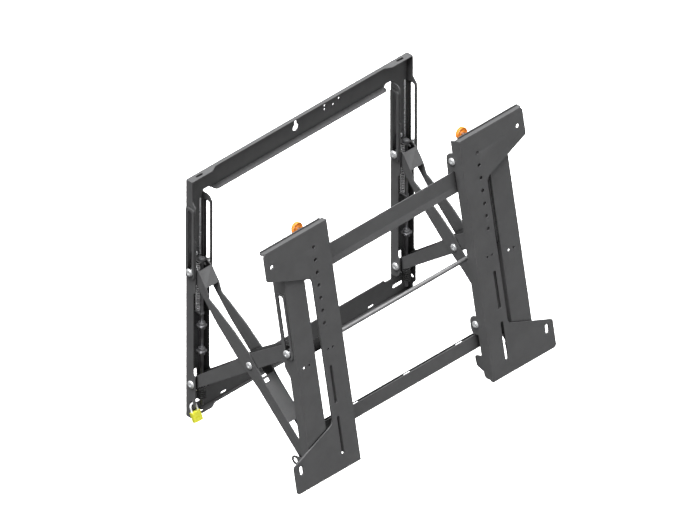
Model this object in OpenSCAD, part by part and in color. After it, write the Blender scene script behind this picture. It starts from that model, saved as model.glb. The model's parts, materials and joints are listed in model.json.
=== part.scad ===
/* [Wall frame] */
// Overall width of the wall frame
frame_w = 540; // [480:5:620]
// Overall height of the wall frame
frame_h = 500; // [470:5:560]
// Thickness of the frame's steel sheet
sheet = 2; // [1.5:0.1:2.2]
// Width of the channel of a wall upright
channel_w = 40; // [38:0.5:44]
// Depth of a wall upright's flanges along their slots
channel_deep = 23; // [22:0.5:25]
// Depth of those flanges below the slots
channel_low_deep = 17.5; // [16.5:0.5:19]
// Depth of the frame at its four corners
corner_deep = 15; // [12:0.5:16]
// Height of the top and bottom rails
rail_h = 45; // [40:1:50]
// Depth of the lip along the middle of each rail
lip_deep = 7.5; // [6:0.5:10]
// Depth of the lip under the top rail
lower_lip_deep = 14.5; // [12:0.5:16]
// Diameter of the hole for the padlock
lock_hole_d = 7; // [6:0.5:8]

/* [Scissor arms] */
// Distance of the inner arms' wall pivot from the wall
wall_pivot_f = 12.8; // [12:0.1:13.5]
// Height of the inner arms' wall pivot
wall_pivot_z = -177.7; // [-180:0.1:-174]
// Distance of the outer arms' wall slider from the wall
wall_slide_f = 12; // [11.5:0.1:12.5]
// Height of the outer arms' wall slider when the mount is out
wall_slide_z = 60.7; // [58:0.1:63]
// Distance of the arms' crossing from the wall when the mount is out
cross_f = 151.3; // [149:0.1:154]
// Height of the arms' crossing when the mount is out
cross_z = -70.5; // [-72:0.1:-69]
// Sheet thickness of the outer arms
outer_arm_sheet = 2.5; // [2:0.1:3]
// Sheet thickness of the inner arms
inner_arm_sheet = 2; // [1.5:0.1:2.2]

/* [Display frame] */
// Forward tilt of the display frame when the mount is out
tilt = 10.3; // [9:0.1:11]
// Distance of the bracket face's centre from the wall
face_f = 276.6; // [274:0.1:279]
// Height of the bracket face's centre
face_z = 1.7; // [0:0.1:4]
// Top of the display uprights along the tilted face
display_top = 178; // [170:1:190]
// Bottom of the display uprights along the tilted face
display_bottom = -222; // [-230:1:-218]
// Width of a display upright
display_channel_w = 46; // [45:0.5:50]
// Depth of the display uprights' flanges behind the bracket face
display_deep = 36; // [34:0.5:37]
// Diameter of the round bar between the display uprights
round_bar_d = 8; // [6:0.5:8]
// Diameter of the sleeves at that bar's ends
bar_sleeve_d = 20; // [16:0.5:21]

/* [Brackets] */
// Distance between the display's fixing holes, sideways
fixing_w = 600; // [580:5:620]
// Distance between the display's fixing holes, up and down
fixing_h = 400; // [390:5:410]
// Sheet thickness of the brackets
bracket_sheet = 3; // [2.5:0.1:3.2]
// Width of a bracket's upright plate
bracket_column_w = 52; // [50:1:54]
// Diameter of the display's fixing holes
fixing_hole_d = 8.5; // [7:0.5:9]
// Spacing of the small holes down a bracket
hole_pitch = 25; // [22:0.5:26]
// Depth of the flange along a bracket's inner edge
bracket_flange_deep = 22; // [20:0.5:22.5]
// Diameter of the adjusting knobs
knob_d = 24; // [20:0.5:26]
// Thickness of the adjusting knobs
knob_h = 7; // [6:0.5:9]

/* [Latch and lock] */
// Diameter of the latch rods
latch_rod_d = 6; // [5:0.5:6.5]
// Distance of the latch rods from the wall
latch_rod_f = 18.5; // [18:0.1:19]
// Outside diameter of the latch springs
spring_d = 9.5; // [8:0.1:10]
// Wire thickness of the latch springs
spring_wire = 1.4; // [1:0.1:1.6]
// Turns of each latch spring
spring_turns = 30; // [24:1:34]
// Diameter of the rubber boots round the latch rods
boot_d = 16; // [14:0.5:17]
// Width of the padlock's body
padlock_w = 20; // [18:0.5:22]
// Height of the padlock's body
padlock_h = 18; // [16:0.5:22]
// Thickness of the padlock's body
padlock_t = 10.5; // [9:0.5:11]
// Thickness of the shackle's wire
shackle_d = 3.6; // [3:0.1:4]

/* [Fits] */
// Radial clearance of a pivot in its hole
pivot_fit = 0.05; // [0.03:0.01:0.08]
// Gap between pieces that slide past each other
slide_gap = 0.3; // [0.2:0.05:0.4]
// Gap between an outer arm and the side of the wall channel
channel_gap = 1.5; // [1:0.1:2]
// Gap between an inner arm and the outer arm round it
nest_gap = 0.2; // [0.2:0.05:0.4]

/* [Hidden] */
$fn = 48;

steel = [0.32, 0.32, 0.33];
bright = [0.78, 0.79, 0.8];
zinc = [0.66, 0.67, 0.68];

// Sideways stack of one side, out from the middle plane of its channel
side_x = (frame_w - channel_w) / 2;
channel_in = channel_w / 2 - sheet;
outer_arm_out = channel_in - channel_gap;
outer_arm_in = outer_arm_out - outer_arm_sheet;
inner_arm_out = outer_arm_in - nest_gap;
inner_arm_in = inner_arm_out - inner_arm_sheet;
display_in = display_channel_w / 2 - sheet;

// Raised strips that carry the slots
wall_bulge = 3.5;
wall_strip_w = 20;
wall_slot_w = 10;
wall_slot_low = wall_slide_z - 8.7;
wall_slot_high = 191.5;
wall_slot_f = wall_slide_f + 0.1;
wall_strip_f = wall_slot_f - 0.3;
strip_margin = 4;
display_bulge = 2.5;
display_strip_w = 20;
display_slot_w = 12;
display_slot_low = 5;
display_slot_high = 127;
display_slot_n = -19.1;

// Pivots of the display frame, as distance from its face and height along it
display_pivot_n = -22;
display_pivot_t = -203;
display_slide_n = -22;
display_slide_t = 12;
function face_point(n, t) = [face_f + n * cos(tilt) - t * sin(tilt), face_z + n * sin(tilt) + t * cos(tilt)];

wall_pivot = [wall_pivot_f, wall_pivot_z];
wall_slide = [wall_slide_f, wall_slide_z];
crossing = [cross_f, cross_z];
display_slide = face_point(display_slide_n, display_slide_t);
display_pivot = face_point(display_pivot_n, display_pivot_t);

// Arms in their own line: distance along it, and height above or ahead of it
function heading(a, b) = atan2(b.y - a.y, b.x - a.x);
inner_low_len = norm(crossing - wall_pivot);
inner_len = norm(display_slide - wall_pivot);
outer_high_len = norm(crossing - wall_slide);
outer_low_len = norm(display_pivot - crossing);
outer_len = outer_high_len + outer_low_len;

// Fasteners
shank_d = 6;
display_shank_d = 5.4;
bolt_head_d = 15;
bolt_head_h = 4;
cross_head_d = 14;
cross_head_h = 3;
small_screw_d = 4;

// Rails of the display frame
upper_rail_n = -25;
upper_rail_top = 167;
upper_rail_face = 28;
upper_rail_strip = 13;
upper_rail_deep = 12;
lower_rail_n = -30;
lower_rail_bottom = -183;
lower_rail_face = 27.5;
lower_rail_deep = 8;
round_bar_at = [-30.5, -8];
bar_nut_h = 4;
bar_sleeve_len = 42;

// Brackets
bracket_top = fixing_h / 2 + 31.5;
bracket_bottom = -fixing_h / 2 - 42;
bracket_in = fixing_w / 3 - 38;
foot_out = fixing_w / 2 + 16;
foot_h = 54;
ear_n = -42;
ear_bolt_d = 6;
knob_x = fixing_w / 3 + 1;
knob_t = bracket_top - 10.5;
knob_n = -32;

// Latch
guide_top = 79;
guide_h = 3;
guide_low = -190;
guide_w = 18;
guide_front = latch_rod_f + 3.5;
latch_rod_top = 84;
latch_rod_low = -226;
spring_f = 9;
spring_low = -33;
catch_heights = [-59, -113];
boot_h = 20;
lock_f = 14;
lock_z = 34 - frame_h / 2;
padlock_lean = 24.7;
padlock_drop = 16.3;
shackle_span = 14;
shackle_gap = 0.1;

// Points of an arc at a corner of radius b[2], between the sides to a and c
function fillet(a, b, c) =
    let(p = [b.x, b.y], u = ([a.x, a.y] - p) / norm([a.x, a.y] - p),
        v = ([c.x, c.y] - p) / norm([c.x, c.y] - p), open = acos(u * v), r = b.z,
        middle = p + (u + v) / norm(u + v) * r / sin(open / 2),
        first = p + u * r / tan(open / 2) - middle,
        turn = cross(u, v) < 0 ? 180 - open : open - 180, steps = 4)
    r <= 0 ? [p] : [for (i = [0:steps])
        let(a0 = atan2(first.y, first.x) + turn * i / steps) middle + r * [cos(a0), sin(a0)]];
function rounded(pts) = let(n = len(pts))
    [for (i = [0:n - 1]) each fillet(pts[(i + n - 1) % n], pts[i], pts[(i + 1) % n])];

// A plate across X from an outline in distance from the wall and height
module side_plate(x, t) {
    translate([x + t, 0, 0]) rotate([90, 0, -90]) linear_extrude(t) children();
}
// A plate facing the room from an outline in X and height, with its back at f
module front_plate(f, t) {
    translate([0, -f, 0]) rotate([90, 0, 0]) linear_extrude(t) children();
}
// A level plate below height z from an outline in X and distance from the wall
module level_plate(z, t) {
    translate([0, 0, z]) rotate([180, 0, 0]) linear_extrude(t) children();
}
// A bar of round section along X
module cross_bar(p, d, x0, x1) {
    translate([x0, -p.x, p.y]) rotate([0, 90, 0]) cylinder(d = d, h = x1 - x0);
}
// Children on one side of the mount, drawn for the right one
module on_side(s) {
    if (s > 0) children();
    else mirror([1, 0, 0]) children();
}
module both_sides() {
    children();
    mirror([1, 0, 0]) children();
}
// Children on both flanges of the right-hand channel, drawn for the outer one from its middle
module both_flanges() {
    translate([side_x, 0, 0]) children();
    translate([side_x, 0, 0]) mirror([1, 0, 0]) children();
}
// Children in the tilted frame of the display face
module on_face() {
    translate([0, -face_f, face_z]) rotate([-tilt, 0, 0]) children();
}
module long_slot(len, w) {
    square([len - w, w], center = true);
    for (s = [-1, 1]) translate([s * (len - w) / 2, 0]) circle(d = w);
}
module upright_slot(x, low, high, w) {
    translate([x, (low + high) / 2]) rotate(90) long_slot(high - low, w);
}
// Domed head and shank along X: the head's seat is at x_seat and the shank ends at x_tip
module stub_bolt(p, x_seat, x_tip, d, head_d, head_h) {
    translate([x_tip, -p.x, p.y]) rotate([0, 90, 0]) cylinder(d = d, h = x_seat - x_tip + 0.5);
    rim = head_h * 0.45;
    translate([x_seat, -p.x, p.y]) rotate([0, 90, 0]) rotate_extrude()
        polygon([[0, 0], [head_d / 2, 0], [head_d / 2, rim], [head_d * 0.42, head_h * 0.85],
            [head_d * 0.27, head_h], [head_d * 0.2, head_h], [head_d * 0.17, head_h * 0.5], [0, head_h * 0.5]]);
}
module ring(p, d_in, d_out, x0, x1) {
    translate([x0, -p.x, p.y]) rotate([0, 90, 0]) difference() {
        cylinder(d = d_out, h = x1 - x0);
        translate([0, 0, -1]) cylinder(d = d_in, h = x1 - x0 + 2);
    }
}

// Wall frame

module strip_outline(low, high, w, r) {
    polygon(rounded([[-w / 2, low, r], [w / 2, low, r], [w / 2, high, r], [-w / 2, high, r]]));
}
module wall_strip(grow) {
    translate([wall_strip_f, 0])
        strip_outline(wall_slot_low - strip_margin - grow, wall_slot_high + strip_margin + grow,
            wall_strip_w + 2 * grow, 5 + grow);
}
module wall_flange(outline, holes) {
    half = channel_w / 2;
    difference() {
        union() {
            side_plate(half - sheet, sheet) difference() {
                polygon(outline);
                wall_strip(-sheet);
                for (h = holes) translate([h.x, h.y]) circle(d = h.z);
            }
            side_plate(half - sheet, sheet + wall_bulge) difference() {
                wall_strip(0);
                wall_strip(-sheet);
            }
            side_plate(half + wall_bulge - sheet, sheet) wall_strip(0);
        }
        side_plate(half - sheet - 1, wall_bulge + sheet + 2)
            upright_slot(wall_slot_f, wall_slot_low, wall_slot_high, wall_slot_w);
    }
}
module wall_upright(s) {
    top = frame_h / 2 - sheet;
    notch_z = 132;
    slot_part_z = wall_slot_low - 30;
    ear_deep = 22;
    ear_z = wall_pivot_z + 17;
    slot_part = [[ear_deep, ear_z, 5], [channel_low_deep, ear_z + 7, 5], [channel_low_deep, slot_part_z - 7, 5],
        [channel_deep, slot_part_z, 5], [channel_deep, notch_z - 5, 0], [channel_deep - 3, notch_z, 0],
        [channel_deep, notch_z + 5, 0]];
    outer = rounded(concat([[0, -top, 0], [corner_deep, -top, 0], [corner_deep, -top + 16, 0],
        [ear_deep, -top + 25, 0]], slot_part, [[channel_deep, 198, 0], [corner_deep, 208, 0], [corner_deep, top, 0],
        [0, top, 0]]));
    inner = rounded(concat([[0, -frame_h / 2 + rail_h + 5, 0], [ear_deep, -frame_h / 2 + rail_h + 5, 14]], slot_part,
        [[channel_deep, 207, 11], [0, 207, 0]]));
    pivot_hole = [wall_pivot_f, wall_pivot_z, shank_d + 2 * pivot_fit];
    color(steel) on_side(s) {
        translate([side_x, 0, 0]) front_plate(0, sheet) difference() {
            translate([-channel_w / 2, -top]) square([channel_w, 2 * top]);
            upright_slot(0, -181, -159, 10);
            translate([-5, -frame_h / 2 + 21]) long_slot(24, 8);
            translate([16, 7 - frame_h / 2]) circle(d = 4);
        }
        translate([side_x, 0, 0]) wall_flange(outer, [pivot_hole, [lock_f, lock_z, lock_hole_d]]);
        translate([side_x, 0, 0]) mirror([1, 0, 0]) wall_flange(inner, [pivot_hole]);
    }
}
// Lip of a rail: narrow along the middle, wide at the corners that carry the link slots
rail_inner = side_x - channel_w / 2;
function lip_half() = let(mid = rail_inner - 17, blend = 7, deep = corner_deep)
    [[0, lip_deep, 0], [mid - blend, lip_deep, 8], [mid + blend, deep, 8], [frame_w / 2, deep, 2], [frame_w / 2, 0, 0]];
module rail_lip() {
    right = [for (p = lip_half()) p];
    left = [for (i = [len(right) - 1:-1:1]) [-right[i].x, right[i].y, right[i].z]];
    polygon(rounded(concat(left, right)));
}
module rail_web() {
    half = rail_inner;
    step_x = rail_inner - 18;
    step = 5;
    polygon(rounded([[-half, frame_h / 2, 0], [-half, frame_h / 2 - rail_h + step, 0],
        [-step_x - 4, frame_h / 2 - rail_h + step, 3], [-step_x, frame_h / 2 - rail_h, 3],
        [step_x, frame_h / 2 - rail_h, 3], [step_x + 4, frame_h / 2 - rail_h + step, 3],
        [half, frame_h / 2 - rail_h + step, 0], [half, frame_h / 2, 0]]));
}
module link_slots() {
    for (s = [-1, 1]) translate([s * (side_x - 5), lip_deep]) long_slot(16, 5);
}
module wall_top_rail() {
    key_x = -4;
    key_z = frame_h / 2 - 22;
    lip_x = rail_inner - 20;
    color(steel) {
        front_plate(0, sheet) difference() {
            rail_web();
            translate([key_x, key_z]) circle(d = 14);
            upright_slot(key_x, key_z, key_z + 17, 6);
            for (p = [[67, 3], [67, 10.5], [88, 3], [102, 9]]) translate([p.x, key_z + p.y]) circle(d = 4.5);
        }
        level_plate(frame_h / 2, sheet) difference() {
            rail_lip();
            link_slots();
        }
        level_plate(frame_h / 2 - rail_h + sheet, sheet)
            polygon(rounded([[-lip_x, 0, 0], [-lip_x, lower_lip_deep, 7], [lip_x, lower_lip_deep, 7], [lip_x, 0, 0]]));
    }
}
module wall_bottom_rail() {
    color(steel) {
        front_plate(0, sheet) difference() {
            mirror([0, 1]) rail_web();
            for (s = [-1, 1]) translate([s * (rail_inner - 50), 7 - frame_h / 2]) long_slot(14, 4.5);
        }
        level_plate(-frame_h / 2 + sheet, sheet) difference() {
            rail_lip();
            link_slots();
        }
    }
}

// Latch, its rods in the wall channels

module guide_clip(z, foot) {
    low = foot > 0 ? z : z - guide_h - 14;
    difference() {
        union() {
            level_plate(z, guide_h) polygon(rounded([[-guide_w / 2, sheet, 0], [guide_w / 2, sheet, 0],
                [guide_w / 2, guide_front, 4], [-guide_w / 2, guide_front, 4]]));
            front_plate(sheet, sheet) translate([-guide_w / 2, min(low, z - guide_h)])
                square([guide_w, guide_h + 14]);
        }
        translate([0, -latch_rod_f, z - guide_h - 1]) cylinder(d = latch_rod_d + 2 * pivot_fit, h = guide_h + 2);
        translate([0, 0, foot > 0 ? z + 7 : z - guide_h - 8]) rotate([90, 0, 0])
            cylinder(d = small_screw_d + 2 * pivot_fit, h = 3 * sheet);
    }
}
module latch_guides() {
    color(zinc) both_sides() translate([side_x, 0, 0]) {
        guide_clip(guide_top, 1);
        guide_clip(guide_low, -1);
    }
}
module guide_screws() {
    color(bright) both_sides() for (z = [guide_top + 7, guide_low - guide_h - 8])
        translate([side_x, -sheet, z]) rotate([90, 0, 0]) {
            cylinder(d = small_screw_d, h = sheet + 0.5);
            translate([0, 0, sheet]) cylinder(d1 = 8, d2 = 6.5, h = 2.4);
        }
}
module latch_boots() {
    ribs = 5;
    low = guide_low - guide_h - boot_h;
    color([0.12, 0.12, 0.12]) both_sides() translate([side_x, -latch_rod_f, low]) difference() {
        union() {
            cylinder(d = boot_d - 4, h = boot_h);
            for (i = [0:ribs - 1]) translate([0, 0, i * boot_h / ribs]) cylinder(d = boot_d, h = boot_h / ribs - 2);
            translate([0, 0, boot_h - 2]) cylinder(d = boot_d, h = 2);
        }
        translate([0, 0, -1]) cylinder(d = latch_rod_d + 2 * slide_gap, h = boot_h + 2);
    }
}
module latch_rod(s) {
    color(zinc) on_side(s) translate([side_x, 0, 0]) {
        translate([0, -latch_rod_f, latch_rod_low]) cylinder(d = latch_rod_d, h = latch_rod_top - latch_rod_low);
        translate([0, -latch_rod_f, guide_top + slide_gap]) cylinder(d = latch_rod_d + 5, h = 4);
        level_plate(spring_low, guide_h) polygon(rounded([[-5, spring_f - 4.5, 3], [5, spring_f - 4.5, 3],
            [5, latch_rod_f + 3, 3], [-5, latch_rod_f + 3, 3]]));
    }
}
module latch_catches(s) {
    reach = 26;
    hub_d = latch_rod_d + 6;
    color(zinc) on_side(s) translate([side_x, 0, 0]) for (z = catch_heights) difference() {
        union() {
            translate([0, -latch_rod_f, z - 7]) cylinder(d = hub_d, h = 14);
            level_plate(z + guide_h / 2, guide_h) polygon(rounded([[-8, latch_rod_f - 8, 4], [9, latch_rod_f - 8, 4],
                [9.5, reach, 5], [-8, reach, 4]]));
        }
        translate([0, -latch_rod_f, z - 8]) cylinder(d = latch_rod_d + 2 * pivot_fit, h = 16);
    }
}

// Latch spring: one unbroken tube, wound between the upper guide and the rod's arm
spring_sides = 6;
spring_rings = 8;
spring_top = guide_top - guide_h;
spring_r = (spring_d - spring_wire) / 2;
spring_steps = spring_turns * spring_rings;
spring_rise = spring_top - spring_low - 4 * spring_wire;
function spring_mid(i) = let(a = 360 * i / spring_rings)
    [spring_r * cos(a), spring_r * sin(a), spring_low + 2 * spring_wire + spring_rise * i / spring_steps];
spring_path = concat(
    [[spring_r, 0, spring_low], [spring_r, 0, spring_low + spring_wire]],
    [for (i = [1:spring_steps - 1]) spring_mid(i)],
    [[spring_r, 0, spring_top - spring_wire], [spring_r, 0, spring_top]]);
function path_dir(p, i) = let(last = len(p) - 1)
    i <= 1 || i >= last - 1 ? [0, 0, 1] : let(v = p[i + 1] - p[i - 1]) v / norm(v);
function path_ring(p, i) = let(d = path_dir(p, i), out = [p[i].x, p[i].y, 0] / norm([p[i].x, p[i].y, 0]),
        side0 = cross(d, out), side = side0 / norm(side0), up = cross(side, d))
    [for (k = [0:spring_sides - 1]) let(a = 360 * k / spring_sides)
        p[i] + spring_wire / 2 * (cos(a) * up + sin(a) * side)];
spring_gap = min([for (i = [2:len(spring_path) - 3], j = [i + spring_rings - 2:i + spring_rings + 2])
    if (j < len(spring_path) - 2) norm(spring_path[i] - spring_path[j])]) - spring_wire;
echo(least_gap_of_the_spring_to_itself = spring_gap);
module latch_spring(s) {
    n = len(spring_path);
    color(bright) on_side(s) translate([side_x, -spring_f, 0]) polyhedron(
        points = [for (i = [0:n - 1]) each path_ring(spring_path, i)],
        faces = concat(
            [[for (k = [spring_sides - 1:-1:0]) k]],
            [for (i = [0:n - 2], k = [0:spring_sides - 1]) let(a = i * spring_sides, b = (k + 1) % spring_sides)
                each [[a + k, a + b, a + spring_sides + b], [a + k, a + spring_sides + b, a + spring_sides + k]]],
            [[for (k = [0:spring_sides - 1]) (n - 1) * spring_sides + k]]));
}

// Padlock, leaning on the front edge of the left-hand outer flange
module at_padlock() {
    translate([-(frame_w / 2 - sheet / 2), -lock_f, lock_z]) rotate([-padlock_lean, 0, 0]) children();
}
module padlock_shackle() {
    crown_r = shackle_span / 2;
    leg = padlock_drop - crown_r + 3;
    lift = shackle_d / 2 + shackle_gap;
    color(bright) at_padlock() translate([0, 0, lift - lock_hole_d / 2]) {
        translate([0, 0, -crown_r]) rotate([90, 0, 0]) rotate_extrude(angle = 180)
            translate([crown_r, 0]) circle(d = shackle_d);
        for (s = [-1, 1]) translate([s * crown_r, 0, -crown_r - leg]) cylinder(d = shackle_d, h = leg);
    }
}
module padlock_body() {
    h = padlock_h;
    color([0.85, 0.82, 0.2]) at_padlock() translate([0, 0, -padlock_drop - h]) difference() {
        linear_extrude(h) polygon(rounded([[-padlock_w / 2, -padlock_t / 2, 3], [padlock_w / 2, -padlock_t / 2, 3],
            [padlock_w / 2, padlock_t / 2, 3], [-padlock_w / 2, padlock_t / 2, 3]]));
        for (s = [-1, 1]) translate([s * shackle_span / 2, 0, h - 9]) cylinder(d = shackle_d + 2 * pivot_fit, h = 10);
        translate([0, 0, -1]) cylinder(d = 7 + 2 * pivot_fit, h = 7);
    }
}
module padlock_key_plug() {
    color([0.8, 0.66, 0.3]) at_padlock() translate([0, 0, -padlock_drop - padlock_h]) difference() {
        cylinder(d = 7, h = 6 - 0.1);
        translate([-2.4, -0.6, -1]) cube([4.8, 1.2, 5]);
    }
}

// Inner arms

module on_line(from, to) {
    translate([from.x, from.y]) rotate(heading(from, to)) children();
}
inner_edge = 10.5;
module inner_arm(s) {
    tail = 22;
    color(steel) on_side(s) {
        both_flanges() side_plate(inner_arm_in, inner_arm_sheet) difference() {
            on_line(wall_pivot, display_slide) polygon(rounded([[-9.5, -9.5, 9], [14, -inner_edge, 10],
                [inner_len - 12, -inner_edge, 12], [inner_len + 8.5, -8.5, 8.4], [inner_len + 8.5, 8.5, 8.4],
                [inner_len - 14, 15.5, 20], [inner_low_len, 19.5, 30], [105, 12.6, 60], [25, 11, 20], [-9.5, 9.5, 9]]));
            for (p = [wall_pivot, crossing]) translate(p) circle(d = shank_d + 2 * pivot_fit);
            translate(display_slide) circle(d = display_shank_d + 2 * pivot_fit);
        }
        translate([side_x, 0, 0]) side_plate(-inner_arm_in - 0.5, 2 * inner_arm_in + 1)
            on_line(wall_pivot, display_slide) translate([tail, -inner_edge])
                square([inner_len - tail - 12, inner_arm_sheet]);
    }
}
module wall_pivot_bolts() {
    color(bright) both_sides() both_flanges()
        stub_bolt(wall_pivot, channel_w / 2, inner_arm_in, shank_d, bolt_head_d, bolt_head_h);
}
module wall_pivot_bushes() {
    color([0.2, 0.2, 0.2]) both_sides() both_flanges()
        ring(wall_pivot, shank_d + 2 * pivot_fit, 12, inner_arm_out, channel_in - 0.1);
}
module cross_pivot_bolts() {
    color(bright) both_sides() both_flanges()
        stub_bolt(crossing, outer_arm_out, inner_arm_in, shank_d, cross_head_d, cross_head_h);
}
module display_slide_bolts() {
    seat = display_channel_w / 2 + display_bulge + slide_gap;
    color(bright) both_sides() both_flanges()
        stub_bolt(display_slide, seat, inner_arm_in, display_shank_d, bolt_head_d, bolt_head_h);
}
module display_slide_bushes() {
    color([0.2, 0.2, 0.2]) both_sides() both_flanges()
        ring(display_slide, display_shank_d + 2 * pivot_fit, 13, inner_arm_out, display_in - slide_gap);
}

// Outer arms

bridge_from = 7;
bridge_to = 39;
module outer_arm_plate() {
    k = outer_high_len;
    on_line(wall_slide, crossing) polygon(rounded([[-8.5, -8.5, 8], [22, -11, 20], [60, -14.8, 30], [98, -18.3, 30],
        [k - 26, -18.5, 30], [k + 45, -12, 40], [outer_len + 11, -12, 10], [outer_len + 11, 11.5, 10],
        [k + 42, 12, 30], [k - 16, 17.2, 20], [k - 65, 12.6, 40], [k - 88, 8.2, 30], [76, 3, 12], [56, -2, 9],
        [bridge_to + 2, 6, 4], [bridge_from, 13.5, 4], [-8.5, 9.5, 7]]));
}
module outer_arm(s) {
    k = outer_high_len;
    holes = [wall_slide, crossing, display_pivot];
    bridge = [[bridge_from, 13.6], [bridge_to, 6.8]];
    lean = heading(bridge[0], bridge[1]);
    color(steel) on_side(s) {
        both_flanges() side_plate(outer_arm_in, outer_arm_sheet) difference() {
            outer_arm_plate();
            for (p = holes) translate(p) circle(d = shank_d + 2 * pivot_fit);
        }
        translate([side_x, 0, 0]) side_plate(-outer_arm_out, 2 * outer_arm_out)
            on_line(wall_slide, crossing) translate(bridge[0]) rotate(lean) translate([0, -outer_arm_sheet])
                square([norm(bridge[1] - bridge[0]), outer_arm_sheet]);
        translate([side_x, 0, 0]) difference() {
            side_plate(-outer_arm_in - 0.5, 2 * outer_arm_in + 1)
                on_line(wall_slide, crossing) translate([k + 29, 12 - outer_arm_sheet - 0.3])
                    square([91, outer_arm_sheet]);
            side_plate(s > 0 ? 0.5 - outer_arm_in : outer_arm_in - 11.5, 11)
                on_line(wall_slide, crossing) translate([k + 33.5, 0]) square([6.5, 20]);
        }
    }
}
module wall_slide_bolts() {
    seat = channel_w / 2 + wall_bulge + slide_gap;
    color(bright) both_sides() both_flanges()
        stub_bolt(wall_slide, seat, outer_arm_in, shank_d, bolt_head_d, bolt_head_h);
}
module wall_slide_washers() {
    color([0.2, 0.2, 0.2]) both_sides() both_flanges()
        ring(wall_slide, shank_d + 2 * pivot_fit, 13, outer_arm_out, channel_in - slide_gap);
}
module display_pivot_bolts() {
    color(bright) both_sides() both_flanges()
        stub_bolt(display_pivot, display_channel_w / 2, outer_arm_in, shank_d, bolt_head_d, bolt_head_h);
}
module display_pivot_bushes() {
    color([0.2, 0.2, 0.2]) both_sides() both_flanges()
        ring(display_pivot, shank_d + 2 * pivot_fit, 12, outer_arm_out, display_in - 0.1);
}

// Display frame

module display_strip(grow) {
    translate([display_slot_n, 0])
        strip_outline(display_slot_low - strip_margin - grow, display_slot_high + strip_margin + grow,
            display_strip_w + 2 * grow, 7 + grow);
}
module display_flange(lug) {
    half = display_channel_w / 2;
    step_t = lug ? -20 : -180;
    front = -bracket_sheet - sheet;
    lug_at = [-44, display_bottom + 17];
    difference() {
        union() {
            side_plate(half - sheet, sheet) difference() {
                union() {
                    polygon(rounded([[front, display_bottom, 0], [front, display_top, 0],
                        [-display_deep, display_top, 6], [-display_deep, step_t, 4], [-26, step_t - 18, 4],
                        [-26, display_bottom, 4]]));
                    if (lug) {
                        translate(lug_at) circle(r = 9);
                        polygon([[-20, lug_at.y + 9], lug_at + [0, 9], lug_at - [0, 9], [-20, lug_at.y - 9]]);
                    }
                }
                translate([display_pivot_n, display_pivot_t]) circle(d = shank_d + 2 * pivot_fit);
                if (lug) translate(lug_at) circle(d = 10);
                if (!lug) translate(round_bar_at) circle(d = round_bar_d + 2 * pivot_fit);
                display_strip(-sheet);
            }
            side_plate(half - sheet, sheet + display_bulge) difference() {
                display_strip(0);
                display_strip(-sheet);
            }
            side_plate(half + display_bulge - sheet, sheet) display_strip(0);
        }
        side_plate(half - sheet - 1, display_bulge + sheet + 2)
            upright_slot(display_slot_n, display_slot_low, display_slot_high, display_slot_w);
    }
}
module display_upright(s) {
    front = -bracket_sheet - sheet;
    half = display_channel_w / 2;
    color(steel) on_side(s) on_face() {
        translate([side_x, 0, 0]) front_plate(front - sheet, sheet) difference() {
            translate([-half, display_bottom]) square([2 * half, display_top - display_bottom]);
            for (x = [-6, 6]) translate([x, -20]) circle(d = 5);
        }
        translate([side_x, 0, 0]) display_flange(true);
        translate([side_x, 0, 0]) mirror([1, 0, 0]) display_flange(false);
    }
}
// Rails between the display uprights, each a bent section of the frame's sheet
rail_half = side_x - display_channel_w / 2;
module display_upper_rail() {
    n = upper_rail_n;
    top = upper_rail_top;
    bend = top - upper_rail_face;
    low = bend - upper_rail_strip;
    lean = 1.5;
    back = n - upper_rail_deep;
    color(steel) on_face() difference() {
        side_plate(-rail_half, 2 * rail_half)
            polygon([[n, top], [n - sheet, top], [n - sheet, bend], [n - sheet + lean, low + sheet],
                [back, low + sheet], [back, low], [n + lean, low], [n, bend]]);
        both_sides() side_plate(rail_half - display_bulge - slide_gap, display_bulge + 1) display_strip(slide_gap);
    }
}
module display_lower_rail() {
    n = lower_rail_n;
    low = lower_rail_bottom;
    high = low + lower_rail_face;
    back = n - lower_rail_deep;
    color(steel) on_face() difference() {
        side_plate(-rail_half, 2 * rail_half)
            polygon([[n, low], [n, high], [n - sheet, high], [n - sheet, low + sheet],
                [back + sheet, low + sheet], [back + sheet, high], [back, high], [back, low]]);
        front_plate(back - 1, sheet + 2) for (x = [-127, 0, 127]) translate([x, high - 5]) long_slot(18, 6);
    }
}

module round_bar() {
    color(zinc) on_face() cross_bar(round_bar_at, round_bar_d, -rail_half - sheet, rail_half + sheet);
}
module round_bar_nuts() {
    color(bright) on_face() both_sides() translate([rail_half - bar_nut_h, -round_bar_at.x, round_bar_at.y])
        rotate([0, 90, 0]) difference() {
            cylinder(d = 15, h = bar_nut_h, $fn = 6);
            translate([0, 0, -1]) cylinder(d = round_bar_d + 2 * pivot_fit, h = bar_nut_h + 2);
        }
}
module round_bar_sleeves() {
    inner = rail_half - bar_nut_h;
    color([0.1, 0.1, 0.1]) on_face() both_sides()
        ring(round_bar_at, round_bar_d + 2 * pivot_fit, bar_sleeve_d, inner - bar_sleeve_len, inner);
}

// Brackets, in the frame of the display face

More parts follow.
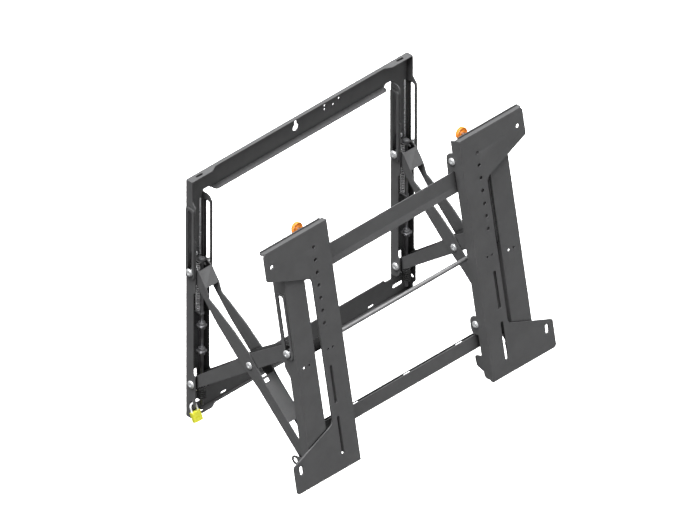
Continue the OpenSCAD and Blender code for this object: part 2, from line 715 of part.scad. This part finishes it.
module bracket_outline() {
    column_out = bracket_in + bracket_column_w;
    polygon(rounded([[bracket_in, bracket_bottom, 2], [foot_out, bracket_bottom, 6],
        [foot_out, bracket_bottom + foot_h, 5], [column_out, bracket_bottom + foot_h + 39, 12],
        [column_out, bracket_top - foot_h - 40, 12], [foot_out, bracket_top - foot_h, 5],
        [foot_out, bracket_top, 8], [bracket_in, bracket_top, 2]]));
}
ear_bolt_n = -25;
ear_bolt_heights = [187, -134.5];
module bracket_ears() {
    rail_top = upper_rail_top + slide_gap;
    flange = -bracket_flange_deep;
    hook_n = upper_rail_n - sheet - slide_gap;
    polygon(rounded([[flange + 4, 202, 0], [ear_n + 3, 202, 14], [ear_n, 152, 3], [hook_n, 152, 1],
        [hook_n, rail_top, 1], [flange + 4, rail_top, 0]]));
    low_seat = lower_rail_bottom + lower_rail_face + slide_gap;
    polygon(rounded([[flange + 4, -118, 0], [ear_n + 3, -121, 12], [ear_n + 3, low_seat, 8], [flange + 4, low_seat, 0]]));
    polygon(rounded([[flange + 4, -196, 0], [ear_n + 2, -199, 5], [ear_n + 4, -219, 5], [flange + 4, -228, 0]]));
}
module bracket(s) {
    color(steel) on_side(s) on_face() {
        front_plate(-bracket_sheet, bracket_sheet) difference() {
            bracket_outline();
            translate([fixing_w / 2, fixing_h / 2]) circle(d = fixing_hole_d);
            upright_slot(fixing_w / 2, -fixing_h / 2 - 9, -fixing_h / 2 + 9, 8);
            for (k = [0:6]) translate([fixing_w / 3, fixing_h / 2 - 6 - hole_pitch * k]) circle(d = 7);
            upright_slot(fixing_w / 3, -114, -39, 6.5);
            upright_slot(fixing_w / 3, bracket_bottom + 28, bracket_bottom + 103, 6.5);
            for (x = [0, -11]) translate([fixing_w / 3 + x, -7]) circle(d = 4);
        }
        side_plate(bracket_in, bracket_sheet) difference() {
            union() {
                polygon(rounded([[0, bracket_bottom + 2, 0], [0, bracket_top - 2, 0],
                    [-bracket_flange_deep, bracket_top - 3, 2], [-bracket_flange_deep, bracket_bottom + 3, 8]]));
                bracket_ears();
            }
            for (t = ear_bolt_heights) translate([ear_bolt_n, t]) circle(d = ear_bolt_d + 2 * pivot_fit);
        }
        level_plate(bracket_top, bracket_sheet) polygon(rounded([[bracket_in, 0, 0], [foot_out - 6, 0, 0],
            [foot_out, -4, 3], [foot_out, -12, 2], [bracket_in, -12, 0]]));
        front_plate(-12, 2) translate([bracket_in + 8, bracket_top - bracket_sheet]) square([foot_out - bracket_in - 10, 5.5]);
        level_plate(bracket_bottom + bracket_sheet, bracket_sheet) polygon(rounded([[bracket_in, 0, 0],
            [foot_out - 6, 0, 0], [foot_out - 3, -8, 4], [bracket_in, -8, 0]]));
    }
}
// A channel closed by the bracket's upright plate
module bracket_stiffener(s) {
    near = bracket_in + 6;
    far = near + 26;
    deep = 15;
    seat = bracket_sheet;
    low = bracket_bottom + 27;
    high = bracket_top - 26;
    color(steel) on_side(s) on_face() translate([0, 0, low]) linear_extrude(high - low)
        polygon([[near, seat], [near, seat + deep], [far, seat + deep], [far, seat], [far - sheet, seat],
            [far - sheet, seat + deep - sheet], [near + sheet, seat + deep - sheet], [near + sheet, seat]]);
}
module bracket_bolts(s) {
    color(bright) on_side(s) on_face() for (t = ear_bolt_heights) {
        mirror([1, 0, 0]) stub_bolt([ear_bolt_n, t], -bracket_in, -bracket_in - bracket_sheet - 1, ear_bolt_d, 14, 4);
        ring([ear_bolt_n, t], ear_bolt_d - 1, 10, bracket_in + bracket_sheet, bracket_in + bracket_sheet + 4);
    }
}
module at_knob() {
    translate([knob_x, bracket_sheet, knob_t]) rotate([-90, 0, 0]) children();
}
module knob_screw(s) {
    reach = -knob_n + knob_h + 2 - bracket_sheet;
    color(bright) on_side(s) on_face() at_knob() {
        cylinder(d = 6, h = reach);
        cylinder(d = 10, h = 5);
        translate([0, 0, reach]) cylinder(d = 9, h = 3);
    }
}
module knob(s) {
    grips = 12;
    color([0.95, 0.5, 0.1]) on_side(s) on_face() at_knob() translate([0, 0, -knob_n - bracket_sheet]) difference() {
        union() {
            cylinder(d = knob_d - 1, h = knob_h);
            translate([0, 0, 1]) cylinder(d = knob_d, h = knob_h - 2);
        }
        translate([0, 0, -1]) cylinder(d = 6 + 2 * pivot_fit, h = knob_h + 2);
        for (i = [0:grips - 1]) rotate(i * 360 / grips) translate([knob_d / 2 + 0.6, 0, -1])
            cylinder(d = 3.2, h = knob_h + 2);
    }
}

wall_upright(-1);  // wall_upright_left
wall_upright(1);  // wall_upright_right
wall_top_rail();
wall_bottom_rail();
latch_guides();
guide_screws();
latch_boots();
latch_rod(-1);  // latch_rod_left
latch_rod(1);  // latch_rod_right
latch_catches(-1);  // latch_catches_left
latch_catches(1);  // latch_catches_right
latch_spring(-1);  // latch_spring_left
latch_spring(1);  // latch_spring_right
padlock_shackle();
padlock_body();
padlock_key_plug();
inner_arm(-1);  // inner_arm_left
inner_arm(1);  // inner_arm_right
wall_pivot_bolts();
wall_pivot_bushes();
cross_pivot_bolts();
display_slide_bolts();
display_slide_bushes();
outer_arm(-1);  // outer_arm_left
outer_arm(1);  // outer_arm_right
wall_slide_bolts();
wall_slide_washers();
display_pivot_bolts();
display_pivot_bushes();
display_upright(-1);  // display_upright_left
display_upright(1);  // display_upright_right
display_upper_rail();
display_lower_rail();
round_bar();
round_bar_nuts();
round_bar_sleeves();
bracket(-1);  // bracket_left
bracket(1);  // bracket_right
bracket_stiffener(-1);  // bracket_stiffener_left
bracket_stiffener(1);  // bracket_stiffener_right
bracket_bolts(-1);  // bracket_bolts_left
bracket_bolts(1);  // bracket_bolts_right
knob_screw(-1);  // knob_screw_left
knob_screw(1);  // knob_screw_right
knob(-1);  // knob_left
knob(1);  // knob_right
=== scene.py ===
import json
import math
import bpy
import bmesh
from mathutils import Matrix, Vector


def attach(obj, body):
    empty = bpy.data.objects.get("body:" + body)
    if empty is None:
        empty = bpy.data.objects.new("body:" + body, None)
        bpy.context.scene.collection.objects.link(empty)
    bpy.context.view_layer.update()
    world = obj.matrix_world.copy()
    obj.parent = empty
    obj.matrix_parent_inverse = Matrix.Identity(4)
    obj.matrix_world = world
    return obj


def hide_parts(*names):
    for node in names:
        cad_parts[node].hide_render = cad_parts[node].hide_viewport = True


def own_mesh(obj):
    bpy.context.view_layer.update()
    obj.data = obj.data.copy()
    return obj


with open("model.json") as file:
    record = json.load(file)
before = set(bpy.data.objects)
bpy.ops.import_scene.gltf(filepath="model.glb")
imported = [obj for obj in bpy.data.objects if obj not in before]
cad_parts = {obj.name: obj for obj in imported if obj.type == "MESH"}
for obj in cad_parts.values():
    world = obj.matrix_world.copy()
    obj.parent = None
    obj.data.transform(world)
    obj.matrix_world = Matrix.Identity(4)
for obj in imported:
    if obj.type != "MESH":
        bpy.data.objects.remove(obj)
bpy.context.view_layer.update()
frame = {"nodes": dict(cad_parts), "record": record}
nodes = frame["nodes"]

# Tilted frame of the display face, as in the part's source, in metres
TILT = math.radians(10.3)
FACE_F, FACE_Z = 0.2766, 0.0017
FACE_OUT = Vector((0, -math.cos(TILT), math.sin(TILT)))

MM = 0.001
SIDE_X = 0.25
SIDES = (-1, 1)
NAMED_SIDES = tuple(zip(SIDES, ("left", "right")))


def at(x, f, z):
    """Row-frame point at distance f in front of the wall."""
    return Vector((x, -f, z))


def face_point(x, n, t):
    """Row-frame point from x, distance n in front of the bracket face and height t along it."""
    f = FACE_F + n * math.cos(TILT) - t * math.sin(TILT)
    z = FACE_Z + n * math.sin(TILT) + t * math.cos(TILT)
    return at(x, f, z)


# Materials


def node(tree, kind, **values):
    """A new shader node with those attributes set."""
    n = tree.nodes.new(kind)
    for key, value in values.items():
        setattr(n, key, value)
    return n


def noise(tree, scale, detail=3.0):
    """A noise over the object's own coordinates."""
    coord = node(tree, "ShaderNodeTexCoord")
    n = node(tree, "ShaderNodeTexNoise")
    n.inputs["Scale"].default_value = scale
    n.inputs["Detail"].default_value = detail
    tree.links.new(coord.outputs["Object"], n.inputs["Vector"])
    return n


def ramp(tree, source, low, high, a=0.35, b=0.65):
    """Fades from one colour to another while the source goes from a to b."""
    r = node(tree, "ShaderNodeValToRGB")
    r.color_ramp.elements[0].position, r.color_ramp.elements[1].position = a, b
    r.color_ramp.elements[0].color, r.color_ramp.elements[1].color = low, high
    tree.links.new(source, r.inputs["Fac"])
    return r


def grey(value):
    return (value,) * 3 + (1,)


def paint_recess_shade(tree, colour, reach, stops):
    """Paints shade into a colour: multiplies it by a ramp over how open the surface is within that
    reach.
    """
    open_air = node(tree, "ShaderNodeAmbientOcclusion", samples=8)
    open_air.inputs["Distance"].default_value = reach
    fade = node(tree, "ShaderNodeValToRGB")
    marks = fade.color_ramp.elements
    marks[0].position, marks[1].position = stops[0][0], stops[-1][0]
    marks[0].color, marks[1].color = grey(stops[0][1]), grey(stops[-1][1])
    for place, value in stops[1:-1]:
        marks.new(place).color = grey(value)
    tree.links.new(open_air.outputs["AO"], fade.inputs["Fac"])
    mix = node(tree, "ShaderNodeVectorMath", operation="MULTIPLY")
    tree.links.new(colour, mix.inputs[0])
    tree.links.new(fade.outputs["Color"], mix.inputs[1])
    return mix.outputs["Vector"]


GLOSS_PATCH = 2.3  # patches of gloss for each patch of tone


def material(name, base, rough, metallic=0.0, spread=0.06, rough_spread=0.06, grain=2500.0,
             patch=30.0, bump=0.05, bump_depth=0.0001, specular=0.5, coat=0.0, stretch=None,
             recess_shade=None):
    """A finish from its colour, with patches of tone and gloss, a fine grain and painted shade in
    recesses.
    """
    mat = bpy.data.materials.new(name)
    mat.use_nodes = True
    tree = mat.node_tree
    shader = tree.nodes["Principled BSDF"]
    shader.inputs["Metallic"].default_value = metallic
    shader.inputs["Specular IOR Level"].default_value = specular
    shader.inputs["Coat Weight"].default_value = coat
    tone = noise(tree, patch)
    low = tuple(c * (1 - spread) for c in base) + (1,)
    high = tuple(min(1, c * (1 + spread)) for c in base) + (1,)
    colour = ramp(tree, tone.outputs["Fac"], low, high).outputs["Color"]
    # painted shade: the colour is darkened where the surface is enclosed, by an ambient occlusion
    # ramp
    if recess_shade:
        colour = paint_recess_shade(tree, colour, *recess_shade)
    tree.links.new(colour, shader.inputs["Base Color"])
    gloss = noise(tree, patch * GLOSS_PATCH, 4.0)
    shiny, dull = max(0.02, rough - rough_spread), min(1, rough + rough_spread)
    roughness = ramp(tree, gloss.outputs["Fac"], grey(shiny), grey(dull))
    tree.links.new(roughness.outputs["Color"], shader.inputs["Roughness"])
    fine = noise(tree, grain, 2.0)
    if stretch:
        squeeze = node(tree, "ShaderNodeMapping")
        squeeze.inputs["Scale"].default_value = stretch
        tree.links.new(fine.inputs["Vector"].links[0].from_socket, squeeze.inputs["Vector"])
        tree.links.new(squeeze.outputs["Vector"], fine.inputs["Vector"])
    relief = node(tree, "ShaderNodeBump")
    relief.inputs["Strength"].default_value = bump
    relief.inputs["Distance"].default_value = bump_depth
    tree.links.new(fine.outputs["Fac"], relief.inputs["Height"])
    tree.links.new(relief.outputs["Normal"], shader.inputs["Normal"])
    return mat


# Painted shade in the paint's recesses: reach, then (openness, share of its colour kept)
PAINT_RECESS_SHADE = (0.032, ((0.3, 0.03), (0.5, 0.35), (0.68, 1.0)))

FINISH = {
    # the frame paint carries painted shade in its recesses
    "frame_steel": material("frame_paint", (0.083, 0.0835, 0.085), 0.52, spread=0.05, grain=1400,
                            bump=0.25, bump_depth=0.00006, specular=0.35, recess_shade=PAINT_RECESS_SHADE),
    "bolt_chrome": material("bolt_chrome", (0.7, 0.71, 0.72), 0.28, 0.6, spread=0.03,
                            rough_spread=0.05),
    "latch_steel": material("latch_steel", (0.3, 0.3, 0.31), 0.42, 1.0, spread=0.15, patch=120),
    "spring_steel": material("spring_steel", (0.62, 0.62, 0.63), 0.3, 0.5, spread=0.12, patch=150),
    "bar_zinc": material("bar_zinc", (0.37, 0.37, 0.375), 0.42, 1.0, spread=0.06, patch=60,
                         grain=1500, bump=0.2, stretch=(0.02, 1, 1)),
    "screw_zinc": material("screw_zinc", (0.66, 0.68, 0.74), 0.28, 1.0, spread=0.08, patch=200),
    "black_rubber": material("black_rubber", (0.018, 0.018, 0.018), 0.7, spread=0.2, grain=900,
                             bump=0.3, specular=0.3),
    "bush_plastic": material("bush_plastic", (0.045, 0.045, 0.047), 0.5, spread=0.1, grain=900,
                             bump=0.15),
    "knob_orange": material("knob_orange", (0.81, 0.245, 0.028), 0.4, spread=0.05, patch=80,
                            grain=1800, bump=0.2),
    "lock_yellow": material("lock_yellow", (0.59, 0.585, 0.042), 0.3, spread=0.05, patch=120,
                            coat=0.3),
    "lock_brass": material("lock_brass", (0.75, 0.52, 0.2), 0.3, 1.0, spread=0.08, patch=200),
    "shackle_steel": material("shackle_steel", (0.8, 0.81, 0.82), 0.25, 0.4, spread=0.04,
                              patch=150),
}

record = frame["record"]
body_of = {n: body for body, held in record["behaviour"]["bodies"].items() for n in held}
slot_of = {part["node"]: part["material_slot"] for part in record["subparts"]}


SOFT_ANGLE = math.radians(40)


def soften(obj, width, segments=2):
    """Rounds the edges of a sheet or solid."""
    weld = obj.modifiers.new("weld", "WELD")
    weld.merge_threshold = 1e-6
    bevel = obj.modifiers.new("bevel", "BEVEL")
    bevel.width = width
    bevel.segments = segments
    bevel.limit_method = "ANGLE"
    bevel.angle_limit = SOFT_ANGLE
    bevel.harden_normals = True


# Width of the rounded edges, for the slots whose edges catch the light
EDGE = {"frame_steel": 0.0004, "lock_yellow": 0.0012, "latch_steel": 0.0003,
        "bush_plastic": 0.0004}
for name, slot in slot_of.items():
    obj = nodes[name]
    obj.data.materials.clear()
    obj.data.materials.append(FINISH[slot])
    if slot in EDGE:
        soften(obj, EDGE[slot])

# Pieces built over the frame

GRIPS, GRIP_DEPTH = 24, 0.0007  # scallops round a knob's rim


class Shape:
    """Vertices and faces of one piece, grown from lathes, tubes and loops."""

    def __init__(self):
        self.verts, self.faces = [], []

    def rings(self, rings):
        """A skin over rings of equal count, closed at both ends."""
        start = len(self.verts)
        n = len(rings[0])
        for ring in rings:
            self.verts.extend(tuple(p) for p in ring)
        for i in range(len(rings) - 1):
            a, b = start + i * n, start + (i + 1) * n
            for k in range(n):
                m = (k + 1) % n
                self.faces.append((a + k, a + m, b + m, b + k))
        self.faces.append(tuple(range(start + n - 1, start - 1, -1)))
        end = start + (len(rings) - 1) * n
        self.faces.append(tuple(range(end, end + n)))

    def lathe(self, origin, axis, profile, steps=48):
        """Turns (radius, height, form) round an axis; form 'hex' and 'grip' reshape that ring."""
        z = Vector(axis).normalized()
        x = z.orthogonal().normalized()
        y = z.cross(x)
        loops = []
        for radius, height, *form in profile:
            loop = []
            for k in range(steps):
                a = 2 * math.pi * k / steps
                r = radius
                if form == ["hex"]:
                    half = math.pi / 6
                    r = radius * math.cos(half) / math.cos(a % (math.pi / 3) - half)
                elif form == ["grip"]:
                    r = radius - GRIP_DEPTH * max(0.0, math.cos(GRIPS * a)) ** 3
                loop.append(Vector(origin) + z * height + (x * math.cos(a) + y * math.sin(a)) * r)
            loops.append(loop)
        self.rings(loops)

    def tube(self, path, radius, sides=10):
        """A round rod along a path of points."""
        loops = []
        up = Vector((0.0, 0.0, 1.0))
        for i, p in enumerate(path):
            after, before = path[min(i + 1, len(path) - 1)], path[max(i - 1, 0)]
            d = (Vector(after) - Vector(before)).normalized()
            side = d.cross(up)
            side = side.normalized() if side.length > 1e-4 else Vector((1, 0, 0))
            rise = side.cross(d)
            loops.append([Vector(p) + (side * math.cos(a) + rise * math.sin(a)) * radius
                          for a in (2 * math.pi * k / sides for k in range(sides))])
        self.rings(loops)

    def piece(self, name, slot, body, replaced=(), angle=35.0):
        """Makes the object, rides it on its body and hides the nodes it takes over."""
        data = bpy.data.meshes.new(name)
        data.from_pydata(self.verts, [], self.faces)
        made = bmesh.new()
        made.from_mesh(data)
        bmesh.ops.recalc_face_normals(made, faces=made.faces)
        made.to_mesh(data)
        made.free()
        data.shade_smooth()
        data.set_sharp_from_angle(angle=math.radians(angle))
        obj = bpy.data.objects.new(name, data)
        bpy.context.collection.objects.link(obj)
        data.materials.append(FINISH[slot])
        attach(obj, body)
        if replaced:
            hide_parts(*replaced)
        return obj


# Latch springs, wound behind the latch rods

SPRING_F, SPRING_LOW, SPRING_TOP = 9 * MM, -33 * MM, 76 * MM
SPRING_R, SPRING_WIRE, SPRING_TURNS = 4.05 * MM, 1.4 * MM, 30
TURN_STEPS = 20


def latch_spring(side, name):
    """One coil with a straight end at its foot and its head."""
    shape = Shape()
    low, high = SPRING_LOW + 1.5 * SPRING_WIRE, SPRING_TOP - 1.5 * SPRING_WIRE
    count = TURN_STEPS * SPRING_TURNS
    path = []
    for i in range(count + 1):
        a = 2 * math.pi * i / TURN_STEPS
        path.append(at(side * SIDE_X + SPRING_R * math.cos(a),
                       SPRING_F + SPRING_R * math.sin(a), low + (high - low) * i / count))
    first, last = path[0], path[-1]
    foot, head = Vector((first.x, first.y, SPRING_LOW)), Vector((last.x, last.y, SPRING_TOP))
    shape.tube([foot] + path + [head], SPRING_WIRE / 2, 8)
    plain = "latch_spring_" + name
    coil = shape.piece("coil_" + name, "spring_steel", body_of[plain], [plain], 60)
    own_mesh(coil)


for side, name in NAMED_SIDES:
    latch_spring(side, name)

# Bolts with low domed heads, a hex socket and a collar under the head

SOCKET_SHARE, DOME_FOOT = 0.19, 0.3  # socket radius by head width, dome's foot by head height
DOME_ANGLES = (8, 22, 36, 50, 64, 78, 88)


def dome_bolt(shape, seat, axis, shank, length, head, height):
    """A domed socket head on its seat, and a shank of that length behind it."""
    r, s = head / 2, head * SOCKET_SHARE
    chamfer, bevel = 0.4 * MM, 0.25 * MM
    dome = [(r * math.cos(a) + s * (1 - math.cos(a)) * 0.9,
             height * (DOME_FOOT + (1 - DOME_FOOT) * math.sin(a)))
            for a in (math.radians(d) for d in DOME_ANGLES)]
    shaft = [(shank / 2 - chamfer, -length), (shank / 2, -length + chamfer), (shank / 2, 0)]
    collar = [(r * 0.96, 0), (r, bevel), (r, height * DOME_FOOT)]
    socket = [(s + bevel, height), (s, height - bevel, "hex"), (s * 0.98, height * 0.45, "hex"),
              (0.02 * MM, height * 0.38)]
    shape.lathe(seat, axis, shaft + collar + dome + socket)


def bolt_set(node_name, place, seat, tip, shank, head, height):
    """The four bolts of one joint: both flanges of both channels."""
    shape = Shape()
    for side in SIDES:
        for flange in SIDES:
            start = Vector(place)
            start.x = side * SIDE_X + flange * seat
            dome_bolt(shape, start, (flange, 0, 0), shank, seat - tip, head, height)
    shape.piece(node_name.replace("bolts", "fasteners"), "bolt_chrome", body_of[node_name],
                [node_name])


WALL_PIVOT = at(0, 12.8 * MM, -177.7 * MM)
WALL_SLIDE = at(0, 12 * MM, 60.7 * MM)
CROSSING = at(0, 151.3 * MM, -70.5 * MM)
DISPLAY_SLIDE = face_point(0, -22 * MM, 12 * MM)
DISPLAY_PIVOT = face_point(0, -22 * MM, -203 * MM)
ARM_IN, OUTER_IN = 11.8 * MM, 14 * MM  # where the shanks end, in the inner and the outer arms
for node_name, place, seat, tip, shank, head, height in (
        ("wall_pivot_bolts", WALL_PIVOT, 20 * MM, ARM_IN, 6 * MM, 15 * MM, 4 * MM),
        ("wall_slide_bolts", WALL_SLIDE, 23.8 * MM, OUTER_IN, 6 * MM, 15 * MM, 4 * MM),
        ("cross_pivot_bolts", CROSSING, 16.5 * MM, ARM_IN, 6 * MM, 14 * MM, 3 * MM),
        ("display_slide_bolts", DISPLAY_SLIDE, 25.8 * MM, ARM_IN, 5.4 * MM, 15 * MM, 4 * MM),
        ("display_pivot_bolts", DISPLAY_PIVOT, 23 * MM, OUTER_IN, 6 * MM, 15 * MM, 4 * MM)):
    bolt_set(node_name, place, seat, tip, shank, head, height)


def in_mm(profile):
    """A profile in metres from one in millimetres."""
    return [(r * MM, z * MM, *form) for r, z, *form in profile]


# Bracket bolts through the ears, each with a hex nut behind its ear

BRACKET_IN, BRACKET_SHEET, EAR_N = 162 * MM, 3 * MM, -25 * MM
EAR_HEIGHTS = (187 * MM, -134.5 * MM)
NUT = in_mm([(2.9, 0), (4.6, 0), (5, 0.4, "hex"), (5, 3.2, "hex"), (4.4, 4), (3, 4), (2.9, 3.6)])
for side, name in NAMED_SIDES:
    shape = Shape()
    for t in EAR_HEIGHTS:
        seat = face_point(side * BRACKET_IN, EAR_N, t)
        dome_bolt(shape, seat, (-side, 0, 0), 6 * MM, 8 * MM, 14 * MM, 4 * MM)
        shape.lathe(face_point(side * (BRACKET_IN + BRACKET_SHEET), EAR_N, t), (side, 0, 0), NUT)
    plain = "bracket_bolts_" + name
    shape.piece("bracket_fasteners_" + name, "bolt_chrome", body_of[plain], [plain])

# Adjusting knobs: a scalloped rim round a dished face, with a hub round the screw

KNOB_T, KNOB_N, KNOB_X = 221 * MM, -32 * MM, 201 * MM
KNOB = in_mm([
    (3.1, 0.6), (4.6, 0.4), (5.2, 1.1), (9.9, 1.1), (10.3, 0.2), (11, 0), (11.6, 0.5, "grip"),
    (12, 1.3, "grip"), (12, 5.7, "grip"), (11.5, 6.5, "grip"), (10.6, 7), (9.4, 6.7), (8.9, 5.2),
    (6, 5), (5.4, 6.4), (3.1, 6.5)])
for side, name in NAMED_SIDES:
    shape = Shape()
    shape.lathe(face_point(side * KNOB_X, KNOB_N, KNOB_T), -FACE_OUT, KNOB, 96)
    plain = "knob_" + name
    shape.piece("grip_" + name, "knob_orange", body_of[plain], [plain], 40)

# A bright half-round guide rib on the back of each wall channel, above the sliders

RIB_X, RIB_F, RIB_LOW, RIB_HIGH = 12.6 * MM, 1.9 * MM, 76 * MM, 196 * MM
RIB_WIDE, RIB_DEEP, RIB_END = 1.9 * MM, 1.3 * MM, 1.5 * MM
RIB_RINGS = ((RIB_LOW, 0.3), (RIB_LOW + RIB_END, 1.0), (RIB_HIGH - RIB_END, 1.0),
             (RIB_HIGH, 0.3))
shape = Shape()
for side in SIDES:
    x = side * SIDE_X + RIB_X
    shape.rings([[at(x + math.cos(a) * RIB_WIDE * grow, RIB_F + math.sin(a) * RIB_DEEP * grow, z)
                  for a in (math.pi * k / 8 for k in range(9))] for z, grow in RIB_RINGS])
shape.piece("guide_ribs", "bolt_chrome", "wall_frame")

# Rubber boots round the latch rods' lower ends

BOOT_LOW, BOOT_H, BOOT_RIBS, ROD_F = -213, 20, 5, 18.5 * MM
boot = [(3.3, 0), (5.6, 0), (6, 0.5)]
for i in range(BOOT_RIBS):
    z = BOOT_H * (i + 0.35) / BOOT_RIBS
    boot += [(6.2, z - 1.2), (7.6, z - 0.7), (8, z), (7.6, z + 0.7), (6.2, z + 1.2)]
boot += [(6, BOOT_H - 0.6), (5.4, BOOT_H), (3.3, BOOT_H)]
shape = Shape()
for side in SIDES:
    shape.lathe(at(side * SIDE_X, ROD_F, BOOT_LOW * MM), (0, 0, 1), in_mm(boot), 40)
shape.piece("boots", "black_rubber", body_of["latch_boots"], ["latch_boots"], 50)

# Camera: the photograph is an isometric view

PICTURE_WIDTH, PX_PER_M = 700, 578.7
AIM_RIGHT, AIM_UP, STAND_BACK = 0.09245, -0.04545, 3
BACK = Vector((-1, -1, 1)).normalized()
RIGHT = Vector((1, -1, 0)).normalized()
UP = BACK.cross(RIGHT)
camera = bpy.data.cameras.new("camera")
camera.type = "ORTHO"
camera.ortho_scale = PICTURE_WIDTH / PX_PER_M
camera.clip_end = 60
eye = bpy.data.objects.new("camera", camera)
bpy.context.collection.objects.link(eye)
aim = RIGHT * AIM_RIGHT + UP * AIM_UP + BACK * STAND_BACK
eye.matrix_world = Matrix.Translation(aim) @ Matrix((RIGHT, UP, BACK)).transposed().to_4x4()
bpy.context.scene.camera = eye

# Light: a room that is bright overhead, a soft sun from above that leans from the left, a fill
# from above and a weak one from the front

world = bpy.data.worlds.new("room")
world.use_nodes = True
sky = world.node_tree
coord = node(sky, "ShaderNodeTexCoord")
split = node(sky, "ShaderNodeSeparateXYZ")
height = node(sky, "ShaderNodeMapRange")
height.inputs["From Min"].default_value = -1.0
sky.links.new(coord.outputs["Generated"], split.inputs["Vector"])
sky.links.new(split.outputs["Z"], height.inputs["Value"])
glow = ramp(sky, height.outputs["Result"], grey(0.12), grey(0.75), 0.35, 0.95)
sky.links.new(glow.outputs["Color"], sky.nodes["Background"].inputs["Color"])
sky.nodes["Background"].inputs["Strength"].default_value = 1.0
bpy.context.scene.world = world
bpy.context.scene.view_settings.view_transform = "Standard"


def sun(name, energy, spread, shadow, towards):
    """A sun that stands in that direction, with its spread in degrees."""
    light = bpy.data.lights.new(name, "SUN")
    light.energy = energy
    light.angle = math.radians(spread)
    light.use_shadow = shadow
    lamp = bpy.data.objects.new(name, light)
    bpy.context.collection.objects.link(lamp)
    lamp.rotation_euler = Vector(towards).to_track_quat("Z", "Y").to_euler()


sun("sun_soft", 4.6, 35, True, (-0.4, 0.0, 0.917))
sun("sun_fill", 3.0, 60, False, (0.0, -0.1, 1.0))
sun("sun_front", 0.3, 60, False, (0.0, -1.0, 0.0))

# Studio: a white room in one shell, seen by the camera only

ROOM_WIDTH, ROOM_HEIGHT, ROOM_MIDDLE = 40, 20, 8


def studio_shell():
    """Builds the room."""
    mesh = bmesh.new()
    room = Matrix.Diagonal((ROOM_WIDTH, ROOM_WIDTH, ROOM_HEIGHT, 1))
    bmesh.ops.create_cube(mesh, size=1, matrix=Matrix.Translation((0, 0, ROOM_MIDDLE)) @ room)
    bmesh.ops.reverse_faces(mesh, faces=mesh.faces)
    data = bpy.data.meshes.new("studio_floor")
    mesh.to_mesh(data)
    mesh.free()
    shell = bpy.data.objects.new("studio_floor", data)
    bpy.context.collection.objects.link(shell)
    mat = bpy.data.materials.new("studio_white")
    mat.use_nodes = True
    shader = mat.node_tree.nodes["Principled BSDF"]
    shader.inputs["Base Color"].default_value = grey(0.8)
    shader.inputs["Emission Color"].default_value = grey(1)
    shader.inputs["Emission Strength"].default_value = 1.0
    data.materials.append(mat)
    shell.visible_diffuse = False
    shell.visible_glossy = False
    shell.visible_shadow = False


studio_shell()
